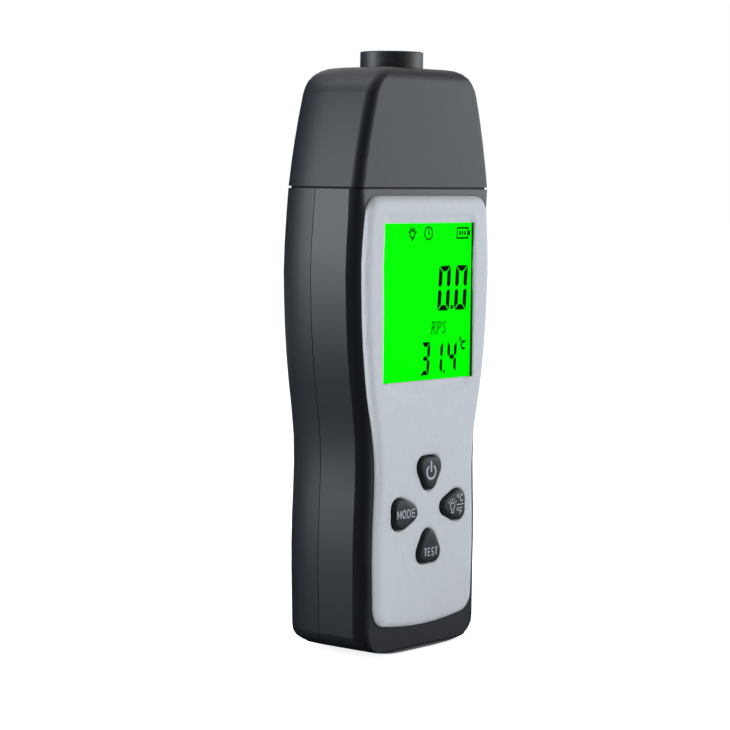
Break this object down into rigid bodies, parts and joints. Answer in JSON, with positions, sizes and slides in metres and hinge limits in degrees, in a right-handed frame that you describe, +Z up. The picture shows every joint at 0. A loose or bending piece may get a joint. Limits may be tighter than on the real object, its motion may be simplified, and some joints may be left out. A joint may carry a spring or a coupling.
{
  "type": "digital tachometer",
  "caption": "Hand-held digital tachometer: waisted two-part casing, light front panel with display and key cluster, tapered cap with a round optical barrel.",
  "frame": {"origin": "on the floor, at the middle of the bounding box in X and Y", "axes": "+Z up along the casing to the barrel, -Y out of the panel towards the user, +X to the right of the panel as the user sees it"},
  "size_m": [0.05, 0.026, 0.1345],
  "materials": {
    "case_black": "fine matt texture",
    "cap_black": "fine matt texture, slightly smoother than the casing",
    "panel_grey": "satin light grey",
    "window_clear": "clear",
    "display_green": "lit green, black segments",
    "guide_clear": "milky light guide",
    "frame_black": "moulded",
    "zebra_rubber": "striped elastomer",
    "led_white": "lamp body",
    "board_green": "solder resist",
    "chip_black": "moulded package",
    "can_metal": "bright can",
    "capacitor_sleeve": "shrunk sleeve",
    "thermistor_resin": "dipped bead",
    "key_rubber": "matt, light grey print",
    "plunger_white": "moulded",
    "switch_body": "stamped cover",
    "cell_label": "plain sleeve without print",
    "contact_metal": "nickel plated",
    "barrel_black": "gloss black",
    "lens_red": "deep red filter",
    "bracket_black": "moulded",
    "laser_brass": "turned",
    "diode_dark": "tinted resin",
    "header_black": "moulded with plated pins",
    "screw_steel": "zinc plated"
  },
  "bodies": {
    "casing": {"front_case": "case_black", "rear_case": "case_black", "sensor_cap": "cap_black", "faceplate": "panel_grey", "display_window": "window_clear", "lcd_cell": "display_green", "lcd_backlight": "guide_clear", "lcd_frame": "frame_black", "zebra_strip": "zebra_rubber", "backlight_leds": "led_white", "main_board": "board_green", "controller_chip": "chip_black", "crystal_can": "can_metal", "filter_capacitor": "capacitor_sleeve", "thermistor": "thermistor_resin", "power_switch": "switch_body", "mode_switch": "switch_body", "light_switch": "switch_body", "test_switch": "switch_body", "battery_1": "cell_label", "battery_2": "cell_label", "battery_3": "cell_label", "contact_spring_1": "contact_metal", "contact_spring_2": "contact_metal", "contact_spring_3": "contact_metal", "upper_contact_bridge": "contact_metal", "upper_contact_plate": "contact_metal", "lower_contact_bridge": "contact_metal", "lower_contact_plate": "contact_metal", "lens_barrel": "barrel_black", "front_lens": "lens_red", "barrel_ring": "bracket_black", "optics_bracket": "bracket_black", "laser_module": "laser_brass", "photodiode": "diode_dark", "sensor_board": "board_green", "sensor_header": "header_black", "case_screws": "screw_steel", "board_screws": "screw_steel", "cap_screws": "screw_steel"},
    "power_key": {"power_button": "key_rubber", "power_plunger": "plunger_white"},
    "mode_key": {"mode_button": "key_rubber", "mode_plunger": "plunger_white"},
    "light_key": {"light_button": "key_rubber", "light_plunger": "plunger_white"},
    "test_key": {"test_button": "key_rubber", "test_plunger": "plunger_white"},
    "cover": {"battery_cover": "case_black"}
  },
  "joints": [
    {"name": "power_press", "type": "slide", "parent": "casing", "child": "power_key", "axis": [0, 1, 0], "range_m": [0, 0.0005], "stiffness_N_per_m": 1500},
    {"name": "mode_press", "type": "slide", "parent": "casing", "child": "mode_key", "axis": [0, 1, 0], "range_m": [0, 0.0005], "stiffness_N_per_m": 1500},
    {"name": "light_press", "type": "slide", "parent": "casing", "child": "light_key", "axis": [0, 1, 0], "range_m": [0, 0.0005], "stiffness_N_per_m": 1500},
    {"name": "test_press", "type": "slide", "parent": "casing", "child": "test_key", "axis": [0, 1, 0], "range_m": [0, 0.0005], "stiffness_N_per_m": 1500},
    {"name": "cover_hinge", "type": "hinge", "parent": "casing", "child": "cover", "pos_m": [0, 0.0121, 0.0117], "axis": [-1, 0, 0], "range_deg": [0, 80]}
  ]
}
